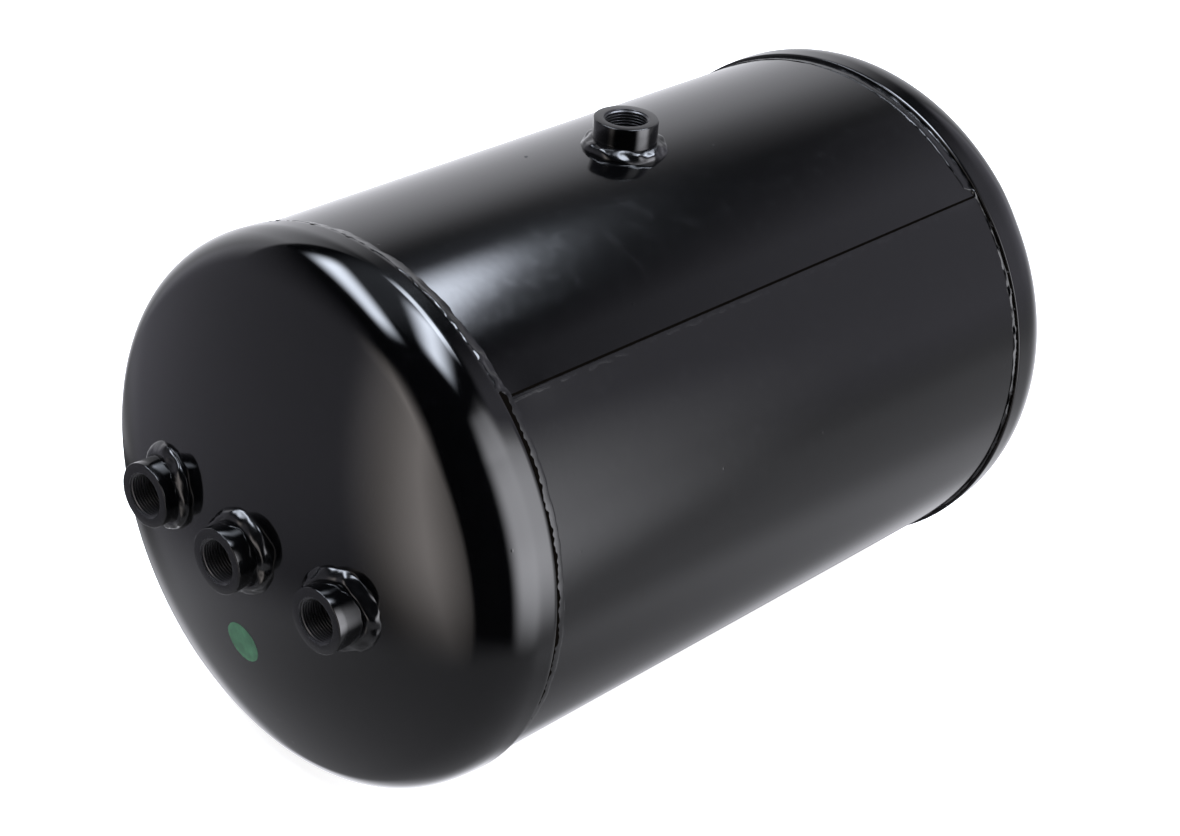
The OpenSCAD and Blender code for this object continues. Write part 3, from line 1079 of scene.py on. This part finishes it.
# Nearly all the panels' numbers, and the floor's glow, came from a least-squares fit in another
# program and were then rounded. They weren't chosen by hand, so the list isn't one to copy.
def studio():
    world = bpy.data.worlds.new("studio")
    world.use_nodes = True
    world.node_tree.nodes.clear()
    bpy.context.scene.world = world
    t = Tree(world.node_tree)
    ray = t.node("ShaderNodeTexCoord", output="Generated")
    height = t.node("ShaderNodeSeparateXYZ", None, {0: ray}, "Z")
    lamps = [
        (COOL, panel(t, ray, -118, 65, 20, 0.42, 0.11, 0.15, 0.10, 18.5)),  # long, over the left
        (COOL, panel(t, ray, 34, 72, 65, 0.12, 0.35, 0.13, 0.15, 19.0)),  # long, over the right
        (COOL, panel(t, ray, -4, 54, -15, 0.25, 0.06, 0.13, 0.02, 14.4)),  # the near end of that
        (PLAIN, panel(t, ray, 73, 6, 0, 0.37, 0.63, 0.23, 0.45, 6.1)),  # tall, to the right
        (WARM, panel(t, ray, 183, -3, 10, 0.03, 0.52, 0.32, 0.31, 5.7)),  # narrow, in front
        (PLAIN, panel(t, ray, -65, 5, -20, 0.18, 0.61, 0.60, 0.04, 2.1)),  # wall on the left
        (PLAIN, panel(t, ray, -23, -4, -20, 0.33, 0.77, 0.34, 0.25, 0.84)),  # wall behind
        (SLATE, panel(t, ray, 19, 17, -5, 0.48, 0.47, 0.08, 0.18, 0.53)),  # its right half
        (SLATE, panel(t, ray, -126, -1, 0, 0.86, 0.67, 0.15, 0.60, 0.43)),  # wall in front, left
        (COOL, panel(t, ray, -42, 69, 40, 0.51, 0.32, 0.05, 0.21, 0.40)),  # ceiling
        (PLAIN, panel(t, ray, -52, -51, -15, 0.24, 0.22, 0.09, 0.29, 1.3)),  # lit floor, left
        (PLAIN, panel(t, ray, 33, -25, -10, 1.57, 0.27, 0.51, 0.18, 0.54)),  # lit floor, right
    ]
    light = t.scaled(PLAIN, 0.36 - height.ramp(-0.67, -0.51) * 0.36)
    for tint, glow in lamps:
        light = t.vector("ADD", light, t.scaled(tint, glow))
    seen = t.node("ShaderNodeLightPath", output="Is Camera Ray")
    lit = t.node("ShaderNodeBackground", None, {"Color": light, "Strength": 1.0})
    white = t.node("ShaderNodeBackground", None, {"Color": (1, 1, 1, 1), "Strength": 1.0})
    both = t.node("ShaderNodeMixShader", None, {0: seen, 1: lit, 2: white})
    t.node("ShaderNodeOutputWorld", None, {"Surface": both})
    return world


print("world:", studio().name)

# %% [markdown]
# The floor is a pale table lit from below, so the tank's shadow on it is almost washed out.

# %% Lay the floor
def floor_material():
    made = bpy.data.materials.new("pale floor")
    made.use_nodes = True
    made.node_tree.nodes.clear()
    t = Tree(made.node_tree)
    place = t.node("ShaderNodeTexCoord", output="Object")
    speck = t.noise(place, 6.0, 3.0)
    hue = t.mix(speck, (0.84, 0.84, 0.84, 1), (0.87, 0.87, 0.87, 1))
    lit = t.node("ShaderNodeEmission", None, {"Color": (1, 1, 1, 1), "Strength": 0.86})
    matt = t.node("ShaderNodeBsdfDiffuse", None, {"Color": hue})
    both = t.node("ShaderNodeAddShader", None, {0: lit, 1: matt})
    t.node("ShaderNodeOutputMaterial", None, {"Surface": both})
    return made


floor_points, floor_faces = spun([(0.0, 0.0), (30.0, 0.0), (30.0, -0.02), (0.0, -0.02)], 96)
floor_points[:, 2] -= 0.3 * MM
floor = piece("floor", floor_points, floor_faces, floor_material())
floor.visible_glossy = False
floor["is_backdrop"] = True
print("floor laid")

# %% [markdown]
# ## Camera
# The camera looks down on the tank from in front and to its right, over a long lens, and is
# turned a little about its own axis.

# %% Place the camera
CAMERA_AZIMUTH, CAMERA_HEIGHT, CAMERA_FAR, CAMERA_ROLL = 41.2, 28.75, 1.335, 4.5
TARGET = Vector((0.0, 0.0014, 0.1248))
lens = bpy.data.cameras.new("camera")
lens.sensor_width, lens.lens = 36.0, 79.3
camera = bpy.data.objects.new("camera", lens)
bpy.context.scene.collection.objects.link(camera)
back = direction(180 - CAMERA_AZIMUTH, CAMERA_HEIGHT)
camera.location = TARGET + back * CAMERA_FAR
camera.rotation_mode = "QUATERNION"
camera.rotation_quaternion = (back.to_track_quat("Z", "Y")
                              @ Quaternion((0, 0, 1), math.radians(CAMERA_ROLL)))
bpy.context.scene.camera = camera
bpy.context.scene.view_settings.view_transform = "Standard"
print("camera at", [round(c, 4) for c in camera.location])

# %% Measure the size
low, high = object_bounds()
{"cad": [list(c) for c in CAD_BOX], "visual": [list(low), list(high)]}
print("visual box", [round(v, 4) for corner in (low, high) for v in corner])
